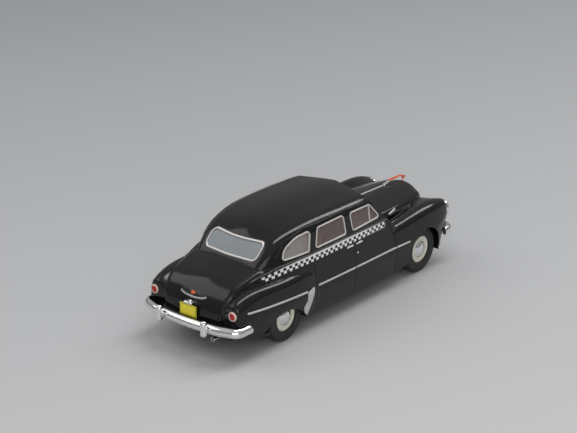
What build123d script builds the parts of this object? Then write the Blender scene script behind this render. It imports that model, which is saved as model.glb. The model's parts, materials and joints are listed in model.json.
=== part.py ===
from build123d import *
import os
from math import cos, radians, sin

# A 1:43 collector's model of a six-window limousine taxi, as the pieces it is assembled from.
# Millimetres. X points forward, Y to the left, Z up. The origin is on the floor, under the middle
# of the model. Stations along the car are measured from an axle: R() from the rear one, F() from
# the front one, so that a longer wheelbase only stretches the doors.

# Overall layout
WHEELBASE = 74.4
REAR_REACH = 31.6
FRONT_REACH = 21.6
REAR_AXLE_X = (REAR_REACH - WHEELBASE - FRONT_REACH) / 2
FRONT_AXLE_X = REAR_AXLE_X + WHEELBASE


def R(x):
    """A station measured forward from the rear axle."""
    return REAR_AXLE_X + x


def F(x):
    """A station measured forward from the front axle."""
    return FRONT_AXLE_X + x


REAR_TRACK = 34.4
FRONT_TRACK = 34.0
TYRE_RADIUS = 8.55
TYRE_WIDTH = 4.2
WHEEL_GAP = 0.9
SHELL_WALL = 1.2
GROOVE_WIDTH = 0.24
GROOVE_DEPTH = 0.28
TRIM_PROUD = 0.3
BAND_PROUD = 0.10
BAND_FILM = 0.03

# Windows
FRAME_WIDTH = 0.45
FRAME_PROUD = 0.12
FRAME_DEPTH = 0.6
GLASS_SINK = 0.2
GLASS_THICKNESS = 0.4

REAR_WINDOW_Z = 31.0
REAR_WINDOW_HALF = 11.4
REAR_WINDOW_HEIGHT = 5.4
REAR_WINDOW_R = 2.0

# Running gear
AXLE_RADIUS = 1.0
AXLE_PLAY = 0.06
AXLE_Z = TYRE_RADIUS
RIM_RADIUS = 5.0
CAP_RADIUS = 3.0
CAP_RISE = 0.95
BEARER_Y = 9.0
BEARER_WIDTH = 2.4

# Base
BASE_TOP = 6.8
BASE_THICKNESS = 1.0
BASE_HALF = 20.0
BASE_REAR = -21.0
EXHAUST_R = 0.75
EXHAUST_Y = -8.3
PLINTH_HOLE_R = 1.25
PLINTH_HOLE_REAR = 20.0
PLINTH_HOLE_SPACING = 34.0

# Body details
FRONT_ARCH = (F(-0.5), 7.6, 9.8)
REAR_ARCH = (R(-2.5), -1.0, 13.4)
BAY_HALF = 12.6
ROOM_HALF = 18.7
REAR_DOOR_X = 13.4
MIDDLE_DOOR_X = 34.2
LID_FRONT_X = -8.6
LID_FRONT_HALF = 14.0
LID_REAR_HALF = 12.2
LID_FOOT_Z = 12.2
NOSE_HALF = 12.0
NOSE_TOP = 17.0
GRILLE_X = F(15.6)
GRILLE_HALF = 9.0
GRILLE_HEIGHT = 5.8
GRILLE_Z = 11.4
MOULDING_HEIGHT = 0.55
HANDLE_Z = 24.1
HANDLE_PROUD = 0.7

# Interior
TUB_HALF = 17.0
TUB_TOP = 10.4
SEAT_HALF = 15.5

# Rear plate
PLATE_X = R(-26.9)
PLATE_Z = 13.1
PLATE_WIDTH = 7.1
PLATE_HEIGHT = 4.1

# Bumpers
BUMPER_Z = 11.6
BLADE_HEIGHT = 3.5
BLADE_DEPTH = 1.5
OVERRIDER_Y = 9.8
OVERRIDER_R = 1.2
OVERRIDER_LOW = 9.4
OVERRIDER_HIGH = 15.2

# Lid badge
BADGE_LEAN = 148.0
BADGE_HALF = 5.2
BADGE_HEIGHT = 2.3
BADGE_LIP = 0.45

# Lamps
LAMP_SEAT = 0.8
HEADLAMP_Y = 16.3
HEADLAMP_Z = 19.2
HEADLAMP_R = 3.5
TAIL_LAMP_Y = 17.2
TAIL_LAMP_Z = 16.9
TAIL_LAMP_R = 1.65


# Sections of the body. Each section stands on a plane that holds the Y direction, at (x, z), and
# leans by "lean" degrees from forward, so 90 is upright. Heights are measured along the plane.
# Columns: x, z, lean, low height, low half width, edge half width, edge height, crown height, edge
# radius, crown radius
CABIN = [
    (R(-10.5), 22, 90, 0, 12.5, 11.6, 3.4, 4.2, 2.0, 30),
    (R(-7.0), 22, 90, 0, 15.6, 13.3, 5.6, 6.9, 2.8, 34),
    (R(-2.0), 22, 90, 0, 18.2, 14.6, 10.2, 12.0, 4.2, 34),
    (R(5.0), 22, 90, 0, 19.6, 15.8, 13.2, 15.5, 4.8, 40),
    (R(15.0), 22, 90, 0, 20.0, 16.7, 14.8, 17.0, 4.8, 45),
    (R(28.0), 22, 90, 0, 20.1, 16.9, 15.1, 17.5, 4.8, 45),
    (F(-34.0), 22, 90, 0, 20.0, 16.8, 14.9, 17.1, 4.8, 45),
    (F(-26.0), 22, 90, 0, 19.8, 16.4, 14.3, 16.2, 4.8, 45),
    (F(-14.0), 22, 90, 0, 19.2, 15.6, 12.4, 13.8, 4.5, 45),
]
HOOD = [
    (F(-22.0), 11, 90, 3, 14.0, 13.6, 14.6, 17.7, 3.0, 26),
    (F(-17.0), 11, 90, 3, 13.8, 13.4, 14.35, 17.6, 3.0, 25),
    (F(-12.0), 11, 90, 3, 13.6, 13.2, 14.1, 17.5, 3.0, 24),
    (F(-7.0), 11, 90, 3, 13.2, 12.8, 13.9, 17.45, 3.0, 23),
    (F(-2.0), 11, 90, 3, 12.8, 12.3, 13.7, 17.4, 3.0, 22),
    (F(2.0), 11, 90, 3, 12.4, 11.7, 13.55, 17.25, 3.0, 19),
    (F(5.5), 11, 90, 3, 11.9, 11.1, 13.4, 17.1, 3.0, 17),
    (F(5.5), 11, 77, 3, 11.2, 10.2, 13.6, 17.3, 3.0, 14),
    (F(5.5), 11, 62, 3, 10.4, 9.2, 14.2, 18.3, 3.0, 12),
    (F(5.5), 11, 41, 3, 9.4, 7.6, 11.2, 14.3, 3.0, 10),
    (F(5.5), 11, 20, 3, 9.0, 7.0, 8.5, 10.7, 3.0, 10),
]
TRUNK = [
    (R(-9.0), 11, 72, 4, 16.4, 15.6, 15.2, 16.9, 2.5, 60),
    (R(-9.0), 11, 96, 4, 16.2, 15.4, 15.1, 16.6, 2.5, 60),
    (R(-9.0), 11, 120, 4, 15.6, 14.9, 15.4, 16.9, 2.5, 60),
    (R(-9.0), 11, 141, 4, 15.0, 14.3, 16.5, 18.0, 2.5, 60),
    (R(-9.0), 11, 160, 4, 14.4, 13.7, 16.6, 17.9, 2.5, 60),
    (R(-9.0), 11, 175, 4, 13.9, 13.3, 16.4, 17.7, 2.5, 60),
    (R(-9.0), 11, 187, 4, 13.6, 13.0, 16.1, 17.4, 2.5, 60),
]
# Columns: x, sill half width, belly half width, belly height, shoulder half width, shoulder
# height, deck height
HULL = [
    (R(-22.5), 13.0, 13.4, 13.4, 12.2, 18.6, 19.2),
    (R(-15.0), 16.6, 17.2, 14.0, 14.9, 24.0, 24.7),
    (R(-7.0), 18.9, 19.6, 14.0, 16.6, 25.8, 26.5),
    (R(2.0), 20.2, 20.9, 14.2, 18.4, 27.0, 27.6),
    (R(11.0), 20.7, 21.4, 14.5, 19.4, 27.2, 27.8),
    (R(20.0), 20.8, 21.6, 14.5, 19.7, 27.2, 27.8),
    (R(29.0), 20.8, 21.7, 14.5, 19.7, 27.2, 27.8),
    (R(38.0), 20.8, 21.7, 14.5, 19.7, 27.2, 27.8),
    (R(47.0), 20.8, 21.6, 14.5, 19.5, 27.0, 27.7),
    (F(-18.0), 20.7, 21.5, 14.5, 19.2, 26.8, 27.5),
    (F(-10.0), 19.9, 20.6, 14.5, 18.2, 26.2, 26.9),
]
SILL_Z = BASE_TOP
BELLY_R = 16.0
SHOULDER_R = 0.8
DECK_R = 60.0
# Columns: x, low y, side y, side z, crest y, crest z, root y, root z, crest radius
FRONT_FENDER = [
    (F(-26.0), 20.2, 20.9, 15.0, 19.0, 23.4, 8.0, 16.8, 2.5),
    (F(-15.0), 20.8, 21.6, 15.0, 19.8, 24.9, 8.0, 17.58, 3.0),
    (F(-4.0), 20.8, 21.8, 15.5, 19.8, 25.8, 8.0, 19.9, 3.4),
    (F(5.0), 20.6, 21.6, 16.0, 19.7, 25.5, 8.0, 22.55, 3.6),
    (F(10.5), 19.6, 20.9, 17.0, 19.4, 24.7, 8.4, 22.61, 3.2),
    (F(14.9), 16.6, 19.7, 18.4, 18.8, 23.4, 9.6, 21.16, 2.6),
]
REAR_FENDER = [
    (R(17.0), 20.2, 20.9, 14.0, 19.4, 21.2, 10.0, 20.8, 2.2),
    (R(11.0), 20.9, 21.9, 14.5, 20.3, 22.7, 10.0, 21.8, 2.6),
    (R(2.0), 21.0, 22.1, 15.0, 20.3, 23.1, 10.0, 21.8, 3.0),
    (R(-8.0), 20.8, 21.9, 15.0, 19.9, 23.8, 10.0, 21.4, 3.2),
    (R(-15.0), 20.2, 21.4, 15.2, 19.4, 24.1, 11.0, 21.2, 3.4),
    (R(-20.5), 19.4, 20.7, 14.8, 19.0, 23.3, 11.5, 20.0, 3.4),
    (R(-24.4), 18.6, 19.8, 13.8, 18.7, 21.2, 11.5, 18.0, 2.8),
]
FRONT_END_R = 0.6
REAR_END_R = 1.7
FENDER_SIDE_R = 8.0


def upright(x, z=0.0, lean=90.0):
    """The plane of a section: its own x runs along +Y, its own y along the lean."""
    a = radians(lean)
    return Plane(origin=(x, 0, z), x_dir=(0, 1, 0), z_dir=(sin(a), 0, -cos(a)))


def closed_face(plane, points, radii):
    """A face on the plane, bounded by a rounded polyline and the line that closes it."""
    line = FilletPolyline(*points, radius=radii)
    return plane * make_face(line + Line(line @ 1, line @ 0))


def spine_body(table, inset=0.0):
    """A crowned body lofted through the rows of CABIN, HOOD or TRUNK."""
    faces = []
    for x, z, lean, low_h, low, edge, edge_h, crown_h, edge_r, crown_r in table:
        low, edge, edge_h, crown_h = (v - inset for v in (low, edge, edge_h, crown_h))
        right = [(-low, low_h), (-edge, edge_h), (0, crown_h)]
        left = [(edge, edge_h), (low, low_h)]
        radius = max(edge_r - inset, 0.4)
        faces.append(closed_face(upright(x, z, lean), right + left, [radius, crown_r, radius]))
    return loft(faces)


def fender_body(table, end_r, inset=0.0):
    """The right-hand fender of a table, rounded at its last row; its root lies inside the body."""
    faces = []
    for x, low_y, side_y, side_z, crest_y, crest_z, root_y, root_z, crest_r in table:
        points = [
            (-root_y, SILL_Z),
            (inset - low_y, SILL_Z),
            (inset - side_y, side_z),
            (inset - crest_y, crest_z - inset),
            (-root_y, root_z - inset),
        ]
        faces.append(closed_face(upright(x), points, [0, FENDER_SIDE_R, max(crest_r - inset, 0.4)]))
    body = loft(faces)
    end_x, root_y = table[-1][0], table[-1][6]
    end = min(body.faces().filter_by(Axis.X), key=lambda face: abs(face.center().X - end_x))
    rounded = [e for e in end.edges() if e.center().Z > SILL_Z + 0.1 and e.center().Y < -root_y - 0.1]
    return fillet(rounded, end_r - inset)


def side_body(inset=0.0):
    """The right-hand side of the car without its greenhouse."""
    return fused(hull_body(inset), front_fender(inset), rear_fender(inset))


def fused(*pieces):
    """One body out of pieces that run into each other."""
    total = Part()
    for piece in pieces:
        total = total + piece
    return total


def both_sides(right):
    """A right-hand piece and its left-hand twin."""
    return fused(right, mirror(right, Plane.XZ))


def across(points, radius, inset=0.0):
    """A bar along Y, right through the car, from an outline in X and Z."""
    face = make_face(FilletPolyline(*points, radius=radius, close=True))
    if inset:
        face = offset(face, -inset, kind=Kind.ARC)
    return extrude(Plane.XZ * face, 40, both=True)


def block(x0, x1, y0, y1, z0, z1):
    """A box between two corners."""
    return Pos((x0 + x1) / 2, (y0 + y1) / 2, (z0 + z1) / 2) * Box(x1 - x0, y1 - y0, z1 - z0)


def rod(start, end, radius):
    """A round rod from one point to another."""
    start, end = Vector(*start), Vector(*end)
    way = end - start
    return Plane(origin=start, z_dir=way) * Cylinder(
        radius, way.length, align=(Align.CENTER, Align.CENTER, Align.MIN)
    )


# The body form
WINDSCREEN_FOOT = (F(-15.8), 28.0)
WINDSCREEN_HEAD = (F(-24.0), 36.6)
WINDSCREEN_SWEEP = 15.5
COWL_STEP = 0.1
WINDSCREEN_PANE = [(0.6, 0.9), (15.4, 0.9), (12.4, 9.4), (0.6, 9.9)]
SIDE_WINDOWS = {
    "front": ([(R(35.4), 27.9), (R(35.1), 34.6), (F(-27.8), 34.2), (F(-22.7), 28.2)], [1.3, 1.4, 1.3, 1.0]),
    "rear": ([(R(15.6), 27.9), (R(18.0), 34.7), (R(32.0), 34.9), (R(32.1), 27.9)], [1.0, 1.5, 1.4, 1.2]),
    "quarter": (
        [(R(0.4), 27.9), (R(1.8), 31.6), (R(7.6), 34.2), (R(14.9), 34.8), (R(12.7), 27.8)],
        [0.9, 5.0, 12.0, 1.3, 0.9],
    ),
}
VENT_BAR = [(F(-28.2), 35.5), (F(-29.2), 26.5)]
DRIP_LINE = [(R(-1.6), 29.4), (R(2.6), 33.6), (R(12.0), 35.9), (R(33.0), 36.0), (F(-26.6), 35.2)]
DRIP_BEND = 3.0
DRIP_WIDTH = 0.4
DRIP_PROUD = 0.3
WIPER_LIFT = 0.45
WIPER_R = 0.2


def windscreen_plane(side):
    """The plane of one windscreen half; its own x runs outward, its own y up the glass."""
    foot = Vector(WINDSCREEN_FOOT[0], 0, WINDSCREEN_FOOT[1])
    rise = Vector(WINDSCREEN_HEAD[0] - foot.X, 0, WINDSCREEN_HEAD[1] - foot.Z)
    out = Vector(-sin(radians(WINDSCREEN_SWEEP)), side * cos(radians(WINDSCREEN_SWEEP)), 0)
    normal = out.cross(rise) * side
    return Plane(origin=foot, x_dir=out, z_dir=normal)


def ahead_cut(form, depth):
    """A form cut off at a depth behind the planes of both windscreen halves."""
    for side in (1, -1):
        form = split(form, windscreen_plane(side).offset(-depth), Keep.BOTTOM)
    return form


def hull_body(inset=0.0):
    """The doors and the lower body between the fenders, with a cowl that slopes as the glass does."""
    faces = []
    for x, sill, belly, belly_z, shoulder, shoulder_z, deck_z in HULL:
        half = [(sill - inset, SILL_Z), (belly - inset, belly_z), (shoulder - inset, shoulder_z - inset)]
        points = [(-y, z) for y, z in half] + [(0, deck_z - inset)] + half[::-1]
        edge_r = max(SHOULDER_R - inset, 0.4)
        faces.append(closed_face(upright(x), points, [BELLY_R, edge_r, DECK_R, edge_r, BELLY_R]))
    return ahead_cut(loft(faces), inset + COWL_STEP)


def cabin_body(inset=0.0):
    """The greenhouse, cut off in front by the two windscreen halves."""
    return ahead_cut(spine_body(CABIN, inset), inset)


def nose_panel():
    """The upright panel behind the grille."""
    return block(F(2.0), GRILLE_X, -NOSE_HALF, NOSE_HALF, SILL_Z, NOSE_TOP)


def front_fender(inset=0.0):
    """The right front fender, swept back under its headlamp."""
    chin = [(F(15.6), 16.6), (F(11.2), 11.0), (F(10.4), 5.0), (F(30.0), 5.0), (F(30.0), 16.6)]
    return fender_body(FRONT_FENDER, FRONT_END_R, inset) - across(chin, 1.0)


def rear_fender(inset=0.0):
    """The right rear fender, with an underside that rises towards the tail."""
    below = [(R(-11.0), SILL_Z), (R(-28.0), 9.6), (R(-28.0), 4.0), (R(-11.0), 4.0)]
    return fender_body(REAR_FENDER, REAR_END_R, inset) - across(below, 0.4)


def wheel_space(x, half_track):
    """Room for one right-hand wheel inside its fender."""
    depth = TYRE_WIDTH / 2 + WHEEL_GAP
    well = Pos(x, -half_track, AXLE_Z) * Rot(90, 0, 0) * Cylinder(TYRE_RADIUS + WHEEL_GAP, 2 * depth)
    inner = Pos(x, -half_track + depth + 1.0, AXLE_Z) * Rot(90, 0, 0)
    return fused(well, inner * Cylinder(AXLE_RADIUS + 1.5, 4.0))


def arch(x, z, radius):
    """A wheel opening through the right-hand fender skin."""
    return Pos(x, -25, z) * Rot(90, 0, 0) * Cylinder(radius, 14)


def cabin_room():
    """The room under the roof, with flat walls: side view, plan and end view in common."""
    side = [
        (R(-6.0), 20.0), (R(-6.0), 26.0), (R(-1.5), 31.0), (R(5.0), 34.6), (R(14.0), 36.2), (R(30.0), 36.8),
        (F(-33.0), 36.3), (F(-27.6), 35.2), (F(-19.4), 28.0), (F(-19.4), 20.0),
    ]
    plan = [
        (R(-6.0), 11.0), (R(0.0), 14.6), (R(7.0), 16.8), (R(14.0), 18.2), (F(-26.0), 18.2), (F(-19.4), 16.8),
    ]
    end = [(18.2, 20.0), (17.0, 28.0), (14.8, 33.6), (12.4, 35.4), (7.0, 36.8)]
    room = extrude(Plane.XZ * make_face(Polyline(*side, close=True)), 40, both=True)
    plan_face = make_face(Polyline(*plan, *[(x, -y) for x, y in plan[::-1]], close=True))
    end_face = make_face(Polyline(*end, *[(-y, z) for y, z in end[::-1]], close=True))
    room = room & extrude(plan_face, 60) & extrude(Plane.YZ * end_face, 100, both=True)
    for side in (1, -1):
        room = split(room, windscreen_plane(side).offset(-SHELL_WALL), Keep.BOTTOM)
    return room


def hollow():
    """Everything inside the shell: cabin, doors, engine bay, trunk and wheel spaces."""
    right = fused(
        wheel_space(F(0.0), FRONT_TRACK / 2),
        wheel_space(R(0.0), REAR_TRACK / 2),
        arch(*FRONT_ARCH),
        arch(*REAR_ARCH),
    )
    return fused(
        cabin_room(),
        block(R(2.0), F(-17.0), -ROOM_HALF, ROOM_HALF, 0.0, 25.4),
        block(R(-13.0), R(2.0), -15.4, 15.4, 0.0, 22.8),
        block(R(-21.0), R(-13.0), -12.4, 12.4, 0.0, 19.0),
        block(F(-17.0), F(9.0), -BAY_HALF, BAY_HALF, 0.0, 16.0),
        block(F(-17.0), F(6.0), -10.6, 10.6, 16.0, 22.8),
        right,
        mirror(right, Plane.XZ),
    )


def blade(points, radius):
    """A thin cutter across the car along a line in X and Z."""
    line = FilletPolyline(*points, radius=radius) if len(points) > 2 else Line(*points)
    return extrude(Plane.XZ * trace(line, GROOVE_WIDTH), 40, both=True)


def door_lines():
    """Cutters for the rear, middle and front edges of the doors."""
    return [
        blade([(R(REAR_DOOR_X), 5.0), (R(REAR_DOOR_X), 27.0)], 0),
        blade([(R(MIDDLE_DOOR_X), 5.0), (R(MIDDLE_DOOR_X), 27.0)], 0),
        blade([(F(-17.8), 5.0), (F(-17.2), 19.0), (F(-20.4), 25.6)], 6.0),
    ]


def lid_lines():
    """Cutters for the sides, the front and the foot of the trunk lid."""
    half = GROOVE_WIDTH / 2
    plan = trace(Line((R(LID_FRONT_X), LID_FRONT_HALF), (R(-30.0), LID_REAR_HALF)), GROOVE_WIDTH)
    edge = Pos(0, 0, LID_FOOT_Z) * extrude(plan, 25.0)
    front_x = R(LID_FRONT_X)
    return [
        edge,
        mirror(edge, Plane.XZ),
        block(front_x - half, front_x + half, -LID_FRONT_HALF, LID_FRONT_HALF, 20.0, 35.0),
        block(R(-32.0), R(-20.0), -LID_REAR_HALF, LID_REAR_HALF, LID_FOOT_Z - half, LID_FOOT_Z + half),
    ]


def hood_lines():
    """The cutter for the rear edge of the hood."""
    half = GROOVE_WIDTH / 2
    return [block(F(-16.8) - half, F(-16.8) + half, -12.4, 12.4, 20.0, 30.0)]


def grooved(form, *values, lines):
    """A form with lines cut into it, GROOVE_DEPTH deep."""
    floor = form(*values, GROOVE_DEPTH)
    return form(*values) - [line - floor for line in lines]


def window_bar(name, inset=0.0):
    """The bar that cuts a pair of side windows."""
    points, radius = SIDE_WINDOWS[name]
    return across(points, radius, inset)


def rear_window_bar(inset=0.0):
    """The bar along X that cuts the rear window."""
    face = Plane.YZ * Pos(0, REAR_WINDOW_Z) * RectangleRounded(
        2 * (REAR_WINDOW_HALF - inset), REAR_WINDOW_HEIGHT - 2 * inset, REAR_WINDOW_R - inset
    )
    return Pos(R(-14.0), 0, 0) * extrude(face, 22.0)


def windscreen_pane(side, inset, low, high):
    """A slab in the shape of one windscreen half, between two depths along its plane."""
    plane = windscreen_plane(side)
    post = plane.to_local_coords(Vector(WINDSCREEN_HEAD[0], 0, WINDSCREEN_HEAD[1]))
    up = 1 if post.Y > 0 else -1
    points = [(x + y * abs(post.X / post.Y), up * y) for x, y in WINDSCREEN_PANE]
    face = offset(make_face(FilletPolyline(*points, radius=1.2, close=True)), -inset, kind=Kind.ARC)
    return plane.offset(low) * extrude(face, high - low)


def body_shell():
    """The painted one-piece body casting."""
    doors = door_lines()
    front = grooved(front_fender, lines=doors[2:])
    rear = grooved(rear_fender, lines=doors[:1])
    windows = [window_bar(name) for name in SIDE_WINDOWS] + [rear_window_bar()]
    windows += [windscreen_pane(side, 0.0, -4.0, 2.0) for side in (1, -1)]
    outside = fused(
        grooved(hull_body, lines=doors),
        grooved(spine_body, HOOD, lines=hood_lines()),
        grooved(spine_body, TRUNK, lines=lid_lines()),
        fused(front, rear),
        mirror(fused(front, rear), Plane.XZ),
        cabin_body() - windows,
        nose_panel(),
    )
    return outside - hollow()


def window_skins():
    """The layers of the greenhouse that the frames and the panes are cut from."""
    frames = cabin_body(-FRAME_PROUD) - cabin_body(FRAME_DEPTH)
    panes = cabin_body(GLASS_SINK) - cabin_body(GLASS_SINK + GLASS_THICKNESS)
    return frames, panes


def side_windows(frame_skin, pane_skin):
    """Frames and panes of the right-hand side windows."""
    right = block(R(-40.0), F(40.0), -40.0, 0.0, 0.0, 60.0)
    frames, panes = [], []
    vent = extrude(Plane.XZ * trace(Line(*VENT_BAR), FRAME_WIDTH), 40, both=True)
    for name in SIDE_WINDOWS:
        opening = window_bar(name, FRAME_WIDTH)
        if name == "front":
            opening = opening - vent
        frames.append((window_bar(name) - opening) & frame_skin & right)
        panes.append(opening & pane_skin & right)
    return fused(*frames), fused(*panes)


def rear_window(frame_skin, pane_skin):
    """Frame and pane of the rear window."""
    opening = rear_window_bar(FRAME_WIDTH)
    return (rear_window_bar() - opening) & frame_skin, opening & pane_skin


def windscreen():
    """Frames and panes of the two windscreen halves."""
    frames, panes = [], []
    for side in (1, -1):
        ring = windscreen_pane(side, 0.0, -FRAME_DEPTH, FRAME_PROUD)
        frames.append(ring - windscreen_pane(side, FRAME_WIDTH, -2.0, 1.0))
        panes.append(
            windscreen_pane(side, FRAME_WIDTH, -GLASS_SINK - GLASS_THICKNESS, -GLASS_SINK)
        )
    return fused(*frames), fused(*panes)


def checker_bands():
    """The printed checker band along each side, a thin layer on a film of glue."""
    low = [
        (R(-9.8), 23.5), (R(-4.8), 23.8), (R(0.3), 24.3), (R(6.0), 24.6), (R(14.0), 24.65),
        (F(-38.0), 24.7), (F(-22.4), 24.5),
    ]
    high = [
        (F(-21.6), 26.5), (F(-38.0), 26.9), (R(14.0), 26.9), (R(6.0), 26.8), (R(0.7), 26.4),
        (R(-4.3), 25.7), (R(-10.8), 24.7),
    ]
    bar = extrude(Plane.XZ * make_face(Polyline(*low, *high, close=True)), 40)
    return both_sides((bar & hull_body(-BAND_PROUD)) - hull_body(-BAND_FILM))


def moulding(points, side, skin):
    """A raised strip on the right-hand skin along a line in X and Z."""
    bar = extrude(Plane.XZ * trace(Line(*points), MOULDING_HEIGHT), 40)
    return (bar & skin) - side


def side_mouldings(side, skin):
    """The bright strips along the doors and fenders."""
    gap = 0.25
    lines = [
        [(R(REAR_DOOR_X) + 0.9, 16.0), (R(MIDDLE_DOOR_X) - gap, 15.9)],
        [(R(MIDDLE_DOOR_X) + gap, 15.9), (F(-17.4) - gap, 15.7)],
        [(F(-17.4) + gap, 15.7), (F(-10.0), 15.6)],
        [(R(-20.6), 17.4), (R(7.8), 15.85)],
    ]
    return both_sides(fused(*[moulding(line, side, skin) for line in lines]))


def stone_guards(side, skin):
    """The bright guards at the foot of the rear fenders."""
    points = [
        (R(11.9), 16.5), (R(7.9), 15.3), (R(8.0), 12.4), (R(6.4), 10.4), (R(7.2), 7.2), (R(8.5), 7.2),
        (R(10.4), 11.2),
    ]
    bar = extrude(Plane.XZ * make_face(FilletPolyline(*points, radius=0.4, close=True)), 40)
    return both_sides((bar & skin) - side - arch(*REAR_ARCH))


def drip_rails():
    """The rain gutters above the side windows."""
    line = FilletPolyline(*DRIP_LINE, radius=DRIP_BEND)
    bar = extrude(Plane.XZ * trace(line, DRIP_WIDTH), 40)
    return both_sides((bar & cabin_body(-DRIP_PROUD)) - cabin_body())


def wipers(frame):
    """A wiper on each windscreen half."""
    pieces = []
    for side in (1, -1):
        plane = windscreen_plane(side)
        up = 1 if plane.to_local_coords(Vector(WINDSCREEN_HEAD[0], 0, WINDSCREEN_HEAD[1])).Y > 0 else -1
        pivot, tip = (5.0, up * 0.2, WIPER_LIFT), (9.6, up * 6.6, WIPER_LIFT)
        spindle = rod((5.0, up * 0.2, -1.0), pivot, 2 * WIPER_R)
        pieces.append(plane * fused(rod(pivot, tip, WIPER_R), spindle))
    return fused(*pieces) - cabin_body() - spine_body(HOOD) - hull_body() - frame


def door_handles(side):
    """Four door handles and the locks under the front ones."""
    skin = hull_body(-HANDLE_PROUD)
    bars = [
        block(R(MIDDLE_DOOR_X) + 0.8, R(MIDDLE_DOOR_X) + 4.2, -40, 0, HANDLE_Z - 0.25, HANDLE_Z + 0.25),
        block(R(MIDDLE_DOOR_X) - 4.2, R(MIDDLE_DOOR_X) - 0.8, -40, 0, HANDLE_Z - 0.25, HANDLE_Z + 0.25),
    ]
    lock = Pos(R(MIDDLE_DOOR_X) + 1.8, -25, 20.6) * Rot(90, 0, 0) * Cylinder(0.35, 14)
    bars.append(lock & hull_body(-0.15))
    return both_sides(fused(*[(bar & skin) - side for bar in bars]))


def hood_trims():
    """The short spears on the hood sides and the strip along its middle."""
    hood, skin = spine_body(HOOD), spine_body(HOOD, -TRIM_PROUD)
    spear = extrude(Plane.XZ * trace(Line((F(-11.2), 23.9), (F(-6.8), 24.5)), 0.6), 40)
    strip = block(WINDSCREEN_FOOT[0] + 0.8, F(2.0), -0.3, 0.3, 20.0, 40.0)
    return both_sides((spear & skin) - hood), (strip & skin) - hood


def d_section(path, height, depth):
    """A bumper section at the start of a level path: flat inside, bowed outward."""
    way = path % 0
    plane = Plane(origin=path @ 0, x_dir=Vector(0, 0, 1).cross(way), z_dir=way)
    bow = ThreePointArc((0, height / 2), (depth, 0), (0, -height / 2))
    return plane * make_face(bow + Line(bow @ 1, bow @ 0))


def bumper(half, radii, direction, reach_x, behind):
    """A round-ended bumper blade with two over-riders and the arms that carry it."""
    points = [(x, y, BUMPER_Z) for x, y in half]
    mirrored = [(x, -y, z) for x, y, z in points[-2::-1]]
    path = FilletPolyline(*points, *mirrored, radius=radii)
    end_x, mid_x = half[0][0], half[-1][0]
    low, high = BUMPER_Z - BLADE_HEIGHT / 2, BUMPER_Z + BLADE_HEIGHT / 2
    far_x = end_x + direction * 60.0
    side_view = [(end_x, low), (far_x, low), (far_x, high), (end_x, high)]
    swept = sweep(d_section(path, BLADE_HEIGHT, BLADE_DEPTH), path)
    blade_solid = swept & across(side_view, 0.46 * BLADE_HEIGHT)
    x = reach_x - direction * OVERRIDER_R
    guard = fused(
        rod((x, 0, OVERRIDER_LOW + OVERRIDER_R), (x, 0, OVERRIDER_HIGH - OVERRIDER_R), OVERRIDER_R),
        Pos(x, 0, OVERRIDER_LOW + OVERRIDER_R) * Sphere(OVERRIDER_R),
        Pos(x, 0, OVERRIDER_HIGH - OVERRIDER_R) * Sphere(OVERRIDER_R),
    )
    x0, x1 = sorted((mid_x, mid_x - direction * 5.0))
    arm = block(x0, x1, -0.6, 0.6, BUMPER_Z - 0.6, BUMPER_Z + 0.6)
    extra = [Pos(0, s * OVERRIDER_Y, 0) * piece for s in (1, -1) for piece in (guard, arm)]
    return fused(blade_solid, *extra) - behind


def rear_bumper(fender):
    """The rear bumper."""
    half = [(R(-19.4), -20.2), (R(-25.4), -20.0), (R(-27.8), -13.0), (R(-28.8), 0.0)]
    behind = [fender, mirror(fender, Plane.XZ), spine_body(TRUNK), hull_body()]
    return bumper(half, [3.0, 14, 80, 14, 3.0], -1, R(-REAR_REACH), behind)


def front_bumper(fender):
    """The front bumper."""
    half = [(F(12.2), 19.6), (F(16.6), 19.2), (F(18.9), 12.5), (F(19.6), 0.0)]
    behind = [fender, mirror(fender, Plane.XZ), nose_panel()]
    return bumper(half, [3.0, 14, 80, 14, 3.0], 1, F(FRONT_REACH), behind)


def grille():
    """A bright surround with level bars, on the nose panel."""
    face = Rectangle(2 * GRILLE_HALF, GRILLE_HEIGHT) - Rectangle(2 * GRILLE_HALF - 1.2, GRILLE_HEIGHT - 1.0)
    for k in range(4):
        z = (k - 1.5) * GRILLE_HEIGHT / 5
        face = face + Pos(0, z) * Rectangle(2 * GRILLE_HALF - 1.0, 0.5)
    return extrude(Plane(origin=(GRILLE_X, 0, GRILLE_Z), x_dir=(0, 1, 0), z_dir=(1, 0, 0)) * face, 0.7)


def lamp(x, y, z, radius, bore, depth, direction):
    """A rim and a domed lens, facing along X, set a little into the skin."""
    place = Plane(origin=(x - direction * LAMP_SEAT, y, z), x_dir=(0, 1, 0), z_dir=(direction, 0, 0))
    base = (Align.CENTER, Align.CENTER, Align.MIN)
    height = LAMP_SEAT + depth
    rim = Cylinder(radius, height, align=base) - Cylinder(bore, height, align=base)
    rim = fillet(rim.edges().group_by(Axis.Z)[-1].sort_by(SortBy.LENGTH)[-1], 0.35)
    rise = bore * 0.35
    ball_r = (bore**2 + rise**2) / (2 * rise)
    waist = LAMP_SEAT + depth * 0.6
    dome = Pos(0, 0, waist + rise - ball_r) * Sphere(ball_r)
    lens = Cylinder(bore, height + rise + 1.0, align=base) & fused(dome, Cylinder(bore, waist, align=base))
    return place * rim, place * lens


def lamps(front, rear):
    """Headlamps and tail lamps: rims and lenses, on the right-hand fenders and their twins."""
    head_x, tail_x = FRONT_FENDER[-1][0], REAR_FENDER[-1][0]
    head = lamp(head_x, -HEADLAMP_Y, HEADLAMP_Z, HEADLAMP_R, HEADLAMP_R - 0.5, 1.0, 1)
    tail = lamp(tail_x, -TAIL_LAMP_Y, TAIL_LAMP_Z, TAIL_LAMP_R, TAIL_LAMP_R - 0.5, 0.6, -1)
    seated = [piece - front for piece in head] + [piece - rear for piece in tail]
    return [both_sides(piece) for piece in seated]


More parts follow.
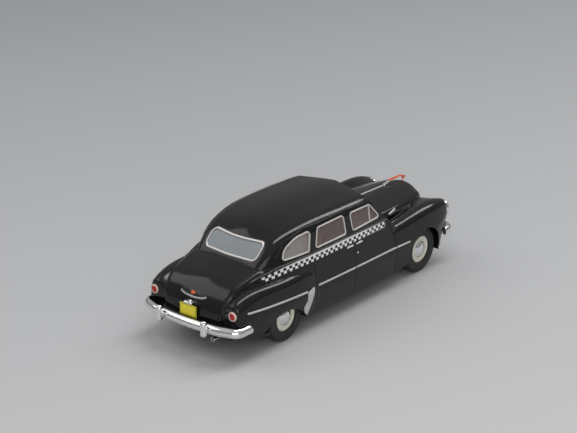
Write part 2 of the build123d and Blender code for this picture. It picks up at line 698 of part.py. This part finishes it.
def rear_plate(trunk):
    """The blank rear plate, its lamp and the block that carries both."""
    top = PLATE_Z + PLATE_HEIGHT
    plate = block(PLATE_X - 0.3, PLATE_X, -PLATE_WIDTH / 2, PLATE_WIDTH / 2, PLATE_Z, top)
    carrier = block(PLATE_X, R(-22.0), -1.6, 1.6, PLATE_Z + 0.6, top)
    housing = block(PLATE_X - 0.5, R(-22.0), -1.7, 1.7, top + 0.05, top + 0.85)
    housing = fillet(housing.edges().filter_by(Axis.Y).sort_by(Axis.X)[:2], 0.35)
    bulb = Pos(PLATE_X + 0.2, -0.7, top + 0.9) * Sphere(0.75)
    return plate, fused(carrier, housing, bulb) - trunk - plate


def trunk_badge(trunk):
    """The plain oval badge on the lid, its bright lower edge and its red boss."""
    a = radians(BADGE_LEAN)
    out = Vector(cos(a), 0, sin(a))
    plane = Plane(origin=Vector(R(-9.0), 0, 11.0) + out * 10.0, x_dir=(0, 1, 0), z_dir=out)
    oval = plane * extrude(Ellipse(BADGE_HALF, BADGE_HEIGHT / 2), 20.0)
    low_oval = plane * extrude(Pos(0, BADGE_LIP) * Ellipse(BADGE_HALF + 0.35, BADGE_HEIGHT / 2 + 0.1), 20.0)
    skin = spine_body(TRUNK, -TRIM_PROUD)
    boss = plane * extrude(Ellipse(0.9, 0.55), 20.0)
    red = (boss & spine_body(TRUNK, -2 * TRIM_PROUD)) - trunk
    return ((low_oval - oval) & skin) - trunk, (oval & skin) - trunk - boss, red


def ornament(hood, strip):
    """The hood ornament: a bright spear with a red upper edge and tip."""
    crest, neck, tip = (F(5.2), 28.4), (F(12.4), 28.1), (F(13.0), 26.4)
    spear = [(F(2.4), 27.0), (F(2.8), 27.8), crest, neck, tip, (F(9.0), 25.6)]
    edge = [crest, (F(6.0), 28.8), (F(12.8), 28.55), (F(15.0), 27.6), (F(14.6), 27.0), tip, neck]
    base = extrude(Plane.XZ * make_face(Polyline(*spear, close=True)), 0.5, both=True)
    top = extrude(Plane.XZ * make_face(Polyline(*edge, close=True)), 0.35, both=True)
    return base - top - hood - strip, top - hood


def base_plate():
    """The chassis plate with its rails and the bearers of both axles."""
    low = BASE_TOP - BASE_THICKNESS
    plate = block(R(BASE_REAR), F(9.5), -BASE_HALF, BASE_HALF, low, BASE_TOP)
    for side in (1, -1):
        y0, y1 = sorted((side * 12.0, side * 30.0))
        plate = plate - block(R(BASE_REAR) - 1.0, R(-12.0), y0, y1, 0, 10)
    pieces = [plate]
    for side in (1, -1):
        pieces.append(block(R(-20.0), F(9.0), side * 12.0 - 0.8, side * 12.0 + 0.8, low - 0.5, low))
    pieces.append(block(R(-18.0), F(-4.0), -1.0, 1.0, low - 0.4, low))
    for x in (R(0.0), F(0.0)):
        for side in (1, -1):
            y = side * BEARER_Y
            y0, y1 = y - BEARER_WIDTH / 2, y + BEARER_WIDTH / 2
            pieces.append(block(x - 2.0, x + 2.0, y0, y1, low, AXLE_Z + 2.2))
    base = fused(*pieces)
    for x, track in ((R(0.0), REAR_TRACK), (F(0.0), FRONT_TRACK)):
        reach = TYRE_RADIUS + WHEEL_GAP
        inner = track / 2 - TYRE_WIDTH / 2 - WHEEL_GAP
        for side in (1, -1):
            y0, y1 = sorted((side * inner, side * 30.0))
            base = base - block(x - reach, x + reach, y0, y1, 0, 20)
        base = base - Pos(x, 0, AXLE_Z) * Rot(90, 0, 0) * Cylinder(AXLE_RADIUS + AXLE_PLAY, 40)
    for x in (R(PLINTH_HOLE_REAR), R(PLINTH_HOLE_REAR) + PLINTH_HOLE_SPACING):
        base = base - Pos(x, 0, low) * Cylinder(PLINTH_HOLE_R, 10)
    return base


def interior():
    """Tub, seats, shelf, dashboard and steering wheel."""
    tub = block(R(10.0), F(-19.0), -TUB_HALF, TUB_HALF, BASE_TOP, TUB_TOP)
    tub = tub - block(R(11.0), F(-20.0), 1 - TUB_HALF, TUB_HALF - 1, BASE_TOP, TUB_TOP - 0.8)
    rear = [
        (R(11.0), TUB_TOP), (R(9.6), 24.6), (R(12.4), 25.0), (R(14.4), 16.6), (R(22.0), 15.8), (R(22.0), TUB_TOP),
    ]
    front = [
        (R(30.4), TUB_TOP), (R(29.0), 25.6), (R(31.4), 26.0), (R(33.4), 17.0), (R(41.0), 16.2), (R(41.0), TUB_TOP),
    ]
    seats = [
        extrude(Plane.XZ * make_face(FilletPolyline(*points, radius=0.7, close=True)), SEAT_HALF, both=True)
        for points in (rear, front)
    ]
    shelf = block(R(0.6), R(11.0), -13.6, 13.6, 23.4, 24.2) - seats[0]
    dash = block(F(-21.0), F(-18.4), -15.5, 15.5, 19.5, 24.6)
    foot = block(F(-18.9), F(-17.9), -16.0, 16.0, BASE_TOP, 22.0)
    dash = fused(fillet(dash.edges().filter_by(Axis.Y), 0.8), foot)
    hub = (F(-26.0), 7.5, 23.0)
    lean = Plane(origin=hub, z_dir=(-0.75, 0, 0.66))
    wheel = fused(
        lean * Torus(3.0, 0.28),
        lean * Cylinder(0.6, 0.8),
        lean * Box(5.9, 0.4, 0.3),
        rod(hub, (F(-20.0), 7.5, 23.0 - 6.0 * 0.66 / 0.75), 0.35),
    )
    return tub, seats[0], seats[1], shelf, dash, wheel - dash


def wheel(x, half_track, side):
    """Tyre, disc and cap of one wheel, on its side of the car."""
    half = TYRE_WIDTH / 2
    profile = [(RIM_RADIUS, -half), (TYRE_RADIUS, -half), (TYRE_RADIUS, half), (RIM_RADIUS, half)]
    tyre_face = make_face(Polyline(*profile, close=True))
    tyre_face = fillet(tyre_face.vertices().group_by(Axis.X)[-1], 1.1)
    tyre = revolve(Plane.XZ * tyre_face, Axis.Z)
    disc_points = [
        (AXLE_RADIUS, -0.9), (RIM_RADIUS, -0.9), (RIM_RADIUS, 1.4), (4.5, 1.55), (4.05, 1.2),
        (3.85, 1.2), (3.4, 1.5), (CAP_RADIUS, 1.5), (CAP_RADIUS, 0.6), (AXLE_RADIUS, 0.6),
    ]
    disc = revolve(Plane.XZ * make_face(Polyline(*disc_points, close=True)), Axis.Z)
    ball_r = (CAP_RADIUS**2 + CAP_RISE**2) / (2 * CAP_RISE)
    seat = Cylinder(CAP_RADIUS, 4, align=(Align.CENTER, Align.CENTER, Align.MIN))
    cap = Pos(0, 0, 0.6) * seat & Pos(0, 0, 1.5 + CAP_RISE - ball_r) * Sphere(ball_r)
    place = Pos(x, side * half_track, AXLE_Z) * Rot(-90 * side, 0, 0)
    return place * tyre, place * disc, place * cap


def axle(x, half_track):
    """The pin between two wheels."""
    return Pos(x, 0, AXLE_Z) * Rot(90, 0, 0) * Cylinder(AXLE_RADIUS, 2 * half_track + 2 * 0.6)


def exhaust():
    """The tail pipe, at the rear edge of the base."""
    z = BASE_TOP - EXHAUST_R - 0.05
    pipe = rod((R(BASE_REAR), EXHAUST_Y, z), (R(-24.6), EXHAUST_Y, z), EXHAUST_R)
    return pipe - rod((R(-22.4), EXHAUST_Y, z), (R(-26.0), EXHAUST_Y, z), EXHAUST_R - 0.25)


def build():
    """Every piece of the model, by name."""
    side, skin = side_body(), side_body(-TRIM_PROUD)
    front, rear, trunk = front_fender(), rear_fender(), spine_body(TRUNK)
    parts = {"body_shell": body_shell(), "base_plate": base_plate(), "exhaust_pipe": exhaust()}
    skins = window_skins()
    frames, panes = side_windows(*skins)
    parts["side_window_frames"], parts["side_glass"] = both_sides(frames), both_sides(panes)
    parts["rear_window_frame"], parts["rear_glass"] = rear_window(*skins)
    parts["windscreen_frame"], parts["windscreen_glass"] = windscreen()
    parts["wipers"] = wipers(parts["windscreen_frame"])
    parts["drip_rails"] = drip_rails()
    parts["checker_bands"] = checker_bands()
    parts["side_mouldings"] = side_mouldings(side, skin)
    parts["stone_guards"] = stone_guards(side, skin)
    parts["door_handles"] = door_handles(side)
    parts["hood_spears"], parts["hood_strip"] = hood_trims()
    parts["rear_bumper"], parts["front_bumper"] = rear_bumper(rear), front_bumper(front)
    parts["grille"] = grille()
    names = ("headlamp_rims", "headlamp_lenses", "tail_lamp_rims", "tail_lamp_lenses")
    parts.update(zip(names, lamps(front, rear)))
    parts["rear_plate"], parts["plate_lamp"] = rear_plate(trunk)
    parts["badge_lip"], parts["badge_oval"], parts["badge_boss"] = trunk_badge(trunk)
    parts["ornament_spear"], parts["ornament_edge"] = ornament(spine_body(HOOD), parts["hood_strip"])
    names = ("interior_tub", "rear_seat", "front_seat", "parcel_shelf", "dashboard", "steering_wheel")
    parts.update(zip(names, interior()))
    for end, x, track in (("rear", R(0.0), REAR_TRACK), ("front", F(0.0), FRONT_TRACK)):
        parts[f"{end}_axle"] = axle(x, track / 2)
        for hand, side in (("left", 1), ("right", -1)):
            tyre, disc, cap = wheel(x, track / 2, side)
            parts[f"{end}_tyre_{hand}"] = tyre
            parts[f"{end}_disc_{hand}"] = disc
            parts[f"{end}_cap_{hand}"] = cap
    return parts


os.makedirs("parts", exist_ok=True)
for name, shape in build().items():
    export_step(Compound(shape.solids()), f"parts/{name}.step")
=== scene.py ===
"""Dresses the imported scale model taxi: camera, light, materials and the small printed and moulded detail."""
import json
from math import cos, pi, radians, sin

import bpy
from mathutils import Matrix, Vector


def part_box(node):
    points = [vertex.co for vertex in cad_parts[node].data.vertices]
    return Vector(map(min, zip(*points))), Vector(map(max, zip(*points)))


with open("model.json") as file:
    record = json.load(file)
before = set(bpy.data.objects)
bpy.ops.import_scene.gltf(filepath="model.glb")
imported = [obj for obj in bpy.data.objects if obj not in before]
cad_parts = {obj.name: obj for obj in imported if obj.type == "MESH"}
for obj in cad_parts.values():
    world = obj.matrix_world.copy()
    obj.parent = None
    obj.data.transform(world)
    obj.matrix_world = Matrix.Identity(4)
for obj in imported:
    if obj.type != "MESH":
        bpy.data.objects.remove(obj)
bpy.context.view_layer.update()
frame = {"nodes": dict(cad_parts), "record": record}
nodes = frame["nodes"]


def middle(node):
    """The middle of a CAD node, in metres."""
    low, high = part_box(node)
    return (low + high) / 2


REAR_X = middle("rear_axle").x
FRONT_X = middle("front_axle").x
AXLE_Z = middle("rear_axle").z

# The photograph's view
PHOTO = (577, 433)
FOCAL_PX = 2200.0
AZIMUTH, ELEVATION, DISTANCE = -49.97, 22.36, 0.7487
TARGET = Vector((REAR_X + 0.02398, 0.0, 0.03298))
TARGET_PX = (288.5, 214.0)
SENSOR = 36.0
CLIP = (0.01, 20.0)


def add_camera():
    """A camera that sees the model as the photograph does."""
    a, e = radians(AZIMUTH), radians(ELEVATION)
    back = Vector((sin(a) * cos(e), -cos(a) * cos(e), sin(e)))
    data = bpy.data.cameras.new("camera")
    data.sensor_fit = "HORIZONTAL"
    data.sensor_width = SENSOR
    data.lens = FOCAL_PX / PHOTO[0] * SENSOR
    data.shift_y = (TARGET_PX[1] - PHOTO[1] / 2) / PHOTO[0]
    data.clip_start, data.clip_end = CLIP
    camera = bpy.data.objects.new("camera", data)
    camera.location = TARGET + back * DISTANCE
    camera.rotation_euler = back.to_track_quat("Z", "Y").to_euler()
    bpy.context.collection.objects.link(camera)
    bpy.context.scene.camera = camera


def material(name, color, roughness, metallic=0.0, **sockets):
    """A Principled material and its node tree."""
    mat = bpy.data.materials.new(name)
    mat.use_nodes = True
    mat.diffuse_color = (*color, 1.0)
    bsdf = mat.node_tree.nodes["Principled BSDF"]
    bsdf.inputs["Base Color"].default_value = (*color, 1.0)
    bsdf.inputs["Roughness"].default_value = roughness
    bsdf.inputs["Metallic"].default_value = metallic
    for key, value in sockets.items():
        bsdf.inputs[key.replace("_", " ")].default_value = value
    return mat, mat.node_tree, bsdf


def new(tree, kind, **values):
    """A shader node with its settings."""
    node = tree.nodes.new(kind)
    for key, value in values.items():
        setattr(node, key, value)
    return node


def calc(tree, operation, *values):
    """A Math node on sockets or plain numbers."""
    node = new(tree, "ShaderNodeMath", operation=operation)
    for socket, value in zip(node.inputs, values):
        if isinstance(value, (int, float)):
            socket.default_value = value
        else:
            tree.links.new(value, socket)
    return node.outputs[0]


def position(tree):
    """The X, Y and Z of a point of the model, in metres."""
    coords = new(tree, "ShaderNodeTexCoord")
    axes = new(tree, "ShaderNodeSeparateXYZ")
    tree.links.new(coords.outputs["Object"], axes.inputs[0])
    return axes.outputs


def noise(tree, scale, detail=3.0):
    """Noise in the row frame; scale is in features per metre."""
    coords = new(tree, "ShaderNodeTexCoord")
    tex = new(tree, "ShaderNodeTexNoise")
    tex.inputs["Scale"].default_value = scale
    tex.inputs["Detail"].default_value = detail
    tree.links.new(coords.outputs["Object"], tex.inputs["Vector"])
    return tex.outputs["Fac"]


def spread(tree, source, low, high, start=0.0, end=1.0):
    """Maps a range of values to another."""
    node = new(tree, "ShaderNodeMapRange")
    node.inputs["From Min"].default_value = start
    node.inputs["From Max"].default_value = end
    node.inputs["To Min"].default_value = low
    node.inputs["To Max"].default_value = high
    tree.links.new(source, node.inputs["Value"])
    return node.outputs["Result"]


def tint(tree, source, dark, light):
    """Mixes two colours, or a socket and a colour, by a 0 to 1 value."""
    node = new(tree, "ShaderNodeMix", data_type="RGBA")
    for key, value in (("A", dark), ("B", light)):
        socket = [s for s in node.inputs if s.name == key and s.type == "RGBA"][0]
        if isinstance(value, (tuple, list)):
            socket.default_value = (*value, 1.0)
        else:
            tree.links.new(value, socket)
    tree.links.new(source, node.inputs["Factor"])
    return [s for s in node.outputs if s.type == "RGBA"][0]


def relief(tree, bsdf, source, depth, soften=0.0):
    """Bump from a height value, over edges softened by a radius."""
    bump = new(tree, "ShaderNodeBump")
    bump.inputs["Distance"].default_value = depth
    bump.inputs["Strength"].default_value = 1.0
    tree.links.new(source, bump.inputs["Height"])
    if soften:
        bevel = new(tree, "ShaderNodeBevel", samples=6)
        bevel.inputs["Radius"].default_value = soften
        tree.links.new(bevel.outputs["Normal"], bump.inputs["Normal"])
    tree.links.new(bump.outputs["Normal"], bsdf.inputs["Normal"])


# Noise scales, in features per metre
DUST, PEEL = 160.0, 2500.0
POLISH, PLATING = 900.0, 1800.0
GLASS_HAZE, GLASS_SMEAR, LENS_HAZE = 120.0, 300.0, 400.0
SEAT_GRAIN, PRINT_WEAR, TYRE_WEAR, PLATE_WEAR = 2200.0, 500.0, 700.0, 600.0
FLOOR_GRAIN = 40.0

# Stations of the quarter pane and of the rear door's pane, from the rear axle
QUARTER_PANE, DOOR_PANE = 0.009, 0.02

# Pitch of the seats' pleats, a tyre's side rings and its tread's ribs, and the radius where the tread starts
PLEAT, RING, RIB = 0.0022, 0.0009, 0.00075
TREAD_RADIUS = 0.0081

# The rear plate's dark border, from its edge
BORDER_START, BORDER_END = 0.00015, 0.00032


def paint(name, color, dusty, roughness, peel=2e-6, soften=0.0004, **sockets):
    """Lacquer: a faint orange peel, and a little dust that dulls it unevenly."""
    mat, tree, bsdf = material(name, color, roughness, **sockets)
    haze = noise(tree, DUST, 4.0)
    tree.links.new(tint(tree, haze, color, dusty), bsdf.inputs["Base Color"])
    tree.links.new(spread(tree, haze, roughness * 0.7, roughness * 1.5), bsdf.inputs["Roughness"])
    relief(tree, bsdf, noise(tree, PEEL, 1.0), peel, soften)
    return mat


def metal(name, color, roughness, soften=0.00015):
    """Bright plating with faint polishing haze."""
    mat, tree, bsdf = material(name, color, roughness, 1.0)
    haze = noise(tree, POLISH, 4.0)
    tree.links.new(tint(tree, haze, [c * 0.9 for c in color], color), bsdf.inputs["Base Color"])
    tree.links.new(spread(tree, haze, roughness * 0.6, roughness * 1.6), bsdf.inputs["Roughness"])
    relief(tree, bsdf, noise(tree, PLATING, 2.0), 3e-6, soften)
    return mat


def pane(name, tail, front, roughness):
    """A moulded pane; tail and front give its colour and clearness at the quarter and the front pane. Its pale
    colour, showing most where the pane is least clear, is partly a pale film and partly a painted reflection
    of the studio.
    """
    mat, tree, bsdf = material(name, front[0], roughness, IOR=1.45)
    ahead = spread(tree, position(tree)["X"], 0.0, 1.0, REAR_X + QUARTER_PANE, REAR_X + DOOR_PANE)
    # Pale film and painted reflection: the quarter pane is less clear, so more of its pale colour shows than
    # on the panes ahead.
    tree.links.new(tint(tree, ahead, tail[0], front[0]), bsdf.inputs["Base Color"])
    haze = spread(tree, noise(tree, GLASS_HAZE, 2.0), -0.05, 0.05)
    clear = calc(tree, "ADD", spread(tree, ahead, tail[1], front[1]), haze)
    tree.links.new(clear, bsdf.inputs["Transmission Weight"])
    smear = spread(tree, noise(tree, GLASS_SMEAR), roughness * 0.5, roughness * 1.5)
    tree.links.new(smear, bsdf.inputs["Roughness"])
    return mat


def lens(name, color, flutes, **sockets):
    """A lamp lens with upright flutes."""
    mat, tree, bsdf = material(name, color, 0.05, IOR=1.45, **sockets)
    y = position(tree)["Y"]
    wave = calc(tree, "SINE", calc(tree, "MULTIPLY", y, 2 * pi * flutes))
    relief(tree, bsdf, wave, 2e-5)
    haze = noise(tree, LENS_HAZE, 2.0)
    tree.links.new(tint(tree, haze, [c * 0.85 for c in color], color), bsdf.inputs["Base Color"])
    return mat


def pleated(name, dark, light):
    """Moulded seat trim: pleats across the car and a fine grain; the colour is painted darker in the creases
    between pleats as shade.
    """
    mat, tree, bsdf = material(name, light, 0.5)
    grain = noise(tree, SEAT_GRAIN, 3.0)
    y = position(tree)["Y"]
    pleat = calc(tree, "ABSOLUTE", calc(tree, "SINE", calc(tree, "MULTIPLY", y, pi / PLEAT)))
    # Painted shade: the colour darkens in the creases between the pleats, mixed with the grain.
    tone = calc(tree, "MULTIPLY", calc(tree, "ADD", grain, pleat), 0.5)
    tree.links.new(tint(tree, tone, dark, light), bsdf.inputs["Base Color"])
    relief(tree, bsdf, pleat, 2e-4)
    return mat


# The checker print: cell sizes, rows of squares, the row where the line starts, and the height of the
# band's lower edge at stations from the rear axle
CELL_X, CELL_Z = 0.00125, 0.0009
SQUARE_ROWS, LINE_ROW = 2.0, 2.06
BAND_START, BAND_END = -0.0092, FRONT_X - REAR_X - 0.0216
BAND_EDGE = [
    (-0.011, 0.0233), (-0.0048, 0.0238), (0.0003, 0.0243), (0.006, 0.0246), (0.014, 0.02465), (0.055, 0.0247),
]


def checker_print(name, black, white):
    """Two rows of squares under a thin line."""
    mat, tree, bsdf = material(name, white, 0.18)
    x, _, z = position(tree)
    along = calc(tree, "SUBTRACT", x, REAR_X)
    edge = None
    for (x0, z0), (x1, z1) in zip(BAND_EDGE, BAND_EDGE[1:]):
        rise = calc(tree, "MULTIPLY", spread(tree, along, 0.0, 1.0, x0, x1), z1 - z0)
        edge = calc(tree, "ADD", rise, z0 if edge is None else edge)
    row = calc(tree, "DIVIDE", calc(tree, "SUBTRACT", z, edge), CELL_Z)
    column = calc(tree, "DIVIDE", calc(tree, "SUBTRACT", along, BAND_START), CELL_X)
    count = calc(tree, "ADD", calc(tree, "FLOOR", row), calc(tree, "FLOOR", column))
    cell = calc(tree, "FLOORED_MODULO", count, 2.0)
    started = calc(tree, "GREATER_THAN", along, BAND_START)
    inside = calc(tree, "MULTIPLY", started, calc(tree, "LESS_THAN", row, SQUARE_ROWS))
    cell = calc(tree, "MULTIPLY", cell, inside)
    line = calc(tree, "GREATER_THAN", row, LINE_ROW)
    print_mask = calc(tree, "MAXIMUM", cell, line)
    wear = tint(tree, noise(tree, PRINT_WEAR), [c * 0.93 for c in white], white)
    tree.links.new(tint(tree, print_mask, black, wear), bsdf.inputs["Base Color"])
    relief(tree, bsdf, print_mask, 1e-6)
    return mat


def tyre(name, color, worn):
    """Rubber with a ribbed tread and raised rings on the sidewall."""
    mat, tree, bsdf = material(name, color, 0.55)
    x, y, z = position(tree)
    side = calc(tree, "ABSOLUTE", y)
    ahead = calc(tree, "GREATER_THAN", x, (REAR_X + FRONT_X) / 2)
    hub = calc(tree, "ADD", calc(tree, "MULTIPLY", ahead, FRONT_X - REAR_X), REAR_X)
    dx, dz = calc(tree, "SUBTRACT", x, hub), calc(tree, "SUBTRACT", z, AXLE_Z)
    squares = calc(tree, "ADD", calc(tree, "MULTIPLY", dx, dx), calc(tree, "MULTIPLY", dz, dz))
    radius = calc(tree, "SQRT", squares)
    rings = calc(tree, "SINE", calc(tree, "MULTIPLY", radius, 2 * pi / RING))
    ribs = calc(tree, "SINE", calc(tree, "MULTIPLY", side, 2 * pi / RIB))
    on_tread = calc(tree, "GREATER_THAN", radius, TREAD_RADIUS)
    height = calc(tree, "ADD", calc(tree, "MULTIPLY", ribs, on_tread), calc(tree, "MULTIPLY", rings, 0.25))
    relief(tree, bsdf, height, 8e-5)
    tree.links.new(tint(tree, noise(tree, TYRE_WEAR), color, worn), bsdf.inputs["Base Color"])
    return mat


def bordered_plate(name, color, edge):
    """A blank plate with a thin dark border."""
    mat, tree, bsdf = material(name, color, 0.3)
    low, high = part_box("rear_plate")
    _, y, z = position(tree)
    centre, half = (low + high) / 2, (high - low) / 2
    off_y = calc(tree, "SUBTRACT", half.y, calc(tree, "ABSOLUTE", calc(tree, "SUBTRACT", y, centre.y)))
    off_z = calc(tree, "SUBTRACT", half.z, calc(tree, "ABSOLUTE", calc(tree, "SUBTRACT", z, centre.z)))
    margin = calc(tree, "MINIMUM", off_y, off_z)
    started = calc(tree, "GREATER_THAN", margin, BORDER_START)
    border = calc(tree, "MULTIPLY", started, calc(tree, "LESS_THAN", margin, BORDER_END))
    face = tint(tree, noise(tree, PLATE_WEAR), [c * 0.92 for c in color], color)
    tree.links.new(tint(tree, border, face, edge), bsdf.inputs["Base Color"])
    return mat


BLACK = (0.0045, 0.0045, 0.005)
materials = {
    "black_paint": paint("black_paint", BLACK, (0.009, 0.009, 0.0095), 0.12, Specular_IOR_Level=0.42),
    "chassis_black": paint("chassis_black", (0.012, 0.012, 0.013), (0.02, 0.02, 0.02), 0.4, 1e-5),
    "badge_black": paint("badge_black", (0.012, 0.011, 0.012), (0.03, 0.028, 0.028), 0.15),
    "chrome": metal("chrome", (0.88, 0.88, 0.88), 0.08),
    "bright_frame": paint("bright_frame", (0.66, 0.63, 0.6), (0.76, 0.73, 0.7), 0.3, Metallic=0.35),
    # The panes' pale colours are partly a pale film and partly a painted reflection.
    "clear_glass": pane("clear_glass", ((0.4, 0.375, 0.35), 0.3), ((0.5, 0.38, 0.35), 0.8), 0.04),
    "rear_glass": pane("rear_glass", ((0.42, 0.46, 0.48), 0.5), ((0.42, 0.46, 0.48), 0.5), 0.06),
    "silver_trim": paint("silver_trim", (0.58, 0.58, 0.56), (0.68, 0.68, 0.66), 0.3, Metallic=0.3),
    "lamp_rim": paint("lamp_rim", (0.72, 0.55, 0.48), (0.8, 0.64, 0.56), 0.25, Metallic=0.3),
    "lamp_glass": lens("lamp_glass", (0.9, 0.92, 0.93), 900.0, Transmission_Weight=0.5),
    "red_lens": lens("red_lens", (0.5, 0.012, 0.01), 1200.0),
    "red_enamel": paint("red_enamel", (0.75, 0.1, 0.03), (0.85, 0.17, 0.05), 0.18),
    "yellow_plate": bordered_plate("yellow_plate", (0.92, 0.78, 0.04), (0.03, 0.028, 0.02)),
    "brown_trim": pleated("brown_trim", (0.2, 0.05, 0.035), (0.5, 0.15, 0.11)),
    "cream_paint": paint("cream_paint", (0.8, 0.77, 0.64), (0.87, 0.84, 0.72), 0.25),
    "tyre": tyre("tyre", (0.012, 0.012, 0.012), (0.024, 0.024, 0.024)),
    "steel": metal("steel", (0.5, 0.5, 0.52), 0.3),
    "checker_print": checker_print("checker_print", (0.006, 0.006, 0.007), (0.88, 0.87, 0.85)),
}
slots = {s["node"]: s["material_slot"] for s in frame["record"]["subparts"]}
slots.update(dict.fromkeys(["side_mouldings", "stone_guards", "hood_strip"], "silver_trim"))
slots.update(rear_glass="rear_glass", tail_lamp_rims="lamp_rim")
for name, node in nodes.items():
    node.data.materials.clear()
    node.data.materials.append(materials[slots[name]])


# The floor: half its width, the view's direction over it, the stretch along that direction over which its tone
# changes, and its tones; the tone darkens away from the camera as a painted falloff of light
FLOOR_HALF = 3
VIEW_X, VIEW_Y = 0.57, 0.87
FLOOR_START, FLOOR_END = -0.12, 0.4
FLOOR_NEAR, FLOOR_FAR, FLOOR_SPECK = (0.56, 0.56, 0.566), (0.322, 0.335, 0.345), (0.6, 0.6, 0.6)

# The soft boxes: name, place, size and power in watts
LIGHTS = [
    ("overhead", (-0.5, 0.75, 0.9), (1.0, 0.8), 3.0),
    ("strip", (0.45, -0.15, 0.95), (0.25, 1.3), 6.0),
    ("fill", (-0.75, -0.65, 0.45), (0.9, 0.7), 3.0),
]
LIGHT_AIM = (0, 0, 0.02)

# Brightness of the studio at the horizon and overhead, and its colour
STUDIO_LEVEL = (0.2, 0.46)
STUDIO_COLOR = (0.99, 1.0, 1.01, 1.0)


def add_floor():
    """A pale sweep under and behind the model, painted a little darker towards the back as a falloff of light.
    """
    mat, tree, bsdf = material("floor", (0.4, 0.41, 0.42), 0.6)
    x, y, _ = position(tree)
    # Painted falloff of light: the colour is lighter near the camera and darker away from it.
    away = calc(tree, "ADD", calc(tree, "MULTIPLY", y, VIEW_Y), calc(tree, "MULTIPLY", x, VIEW_X))
    shade = spread(tree, away, 0.0, 1.0, FLOOR_START, FLOOR_END)
    tone = tint(tree, shade, FLOOR_NEAR, FLOOR_FAR)
    grain = spread(tree, noise(tree, FLOOR_GRAIN), 0.0, 0.03)
    tree.links.new(tint(tree, grain, tone, FLOOR_SPECK), bsdf.inputs["Base Color"])
    mesh = bpy.data.meshes.new("floor")
    corners = [(FLOOR_HALF * i, FLOOR_HALF * j, 0) for i, j in ((-1, -1), (1, -1), (1, 1), (-1, 1))]
    mesh.from_pydata(corners, [], [(0, 1, 2, 3)])
    mesh.materials.append(mat)
    floor = bpy.data.objects.new("floor", mesh)
    bpy.context.collection.objects.link(floor)


def add_light(name, place, size, power):
    """A soft box aimed at the model."""
    data = bpy.data.lights.new(name, "AREA")
    data.shape = "RECTANGLE"
    data.size, data.size_y = size
    data.energy = power
    light = bpy.data.objects.new(name, data)
    light.location = place
    light.rotation_euler = (Vector(place) - Vector(LIGHT_AIM)).to_track_quat("Z", "Y").to_euler()
    bpy.context.collection.objects.link(light)


def add_world():
    """A pale studio, dimmer towards the horizon."""
    world = bpy.data.worlds.new("world")
    bpy.context.scene.world = world
    world.use_nodes = True
    tree = world.node_tree
    coords = new(tree, "ShaderNodeTexCoord")
    axes = new(tree, "ShaderNodeSeparateXYZ")
    tree.links.new(coords.outputs["Generated"], axes.inputs[0])
    level = spread(tree, axes.outputs["Z"], *STUDIO_LEVEL)
    tree.links.new(level, tree.nodes["Background"].inputs["Strength"])
    tree.nodes["Background"].inputs["Color"].default_value = STUDIO_COLOR


add_camera()
add_floor()
for name, place, size, power in LIGHTS:
    add_light(name, place, size, power)
add_world()
bpy.context.scene.view_settings.view_transform = "Standard"
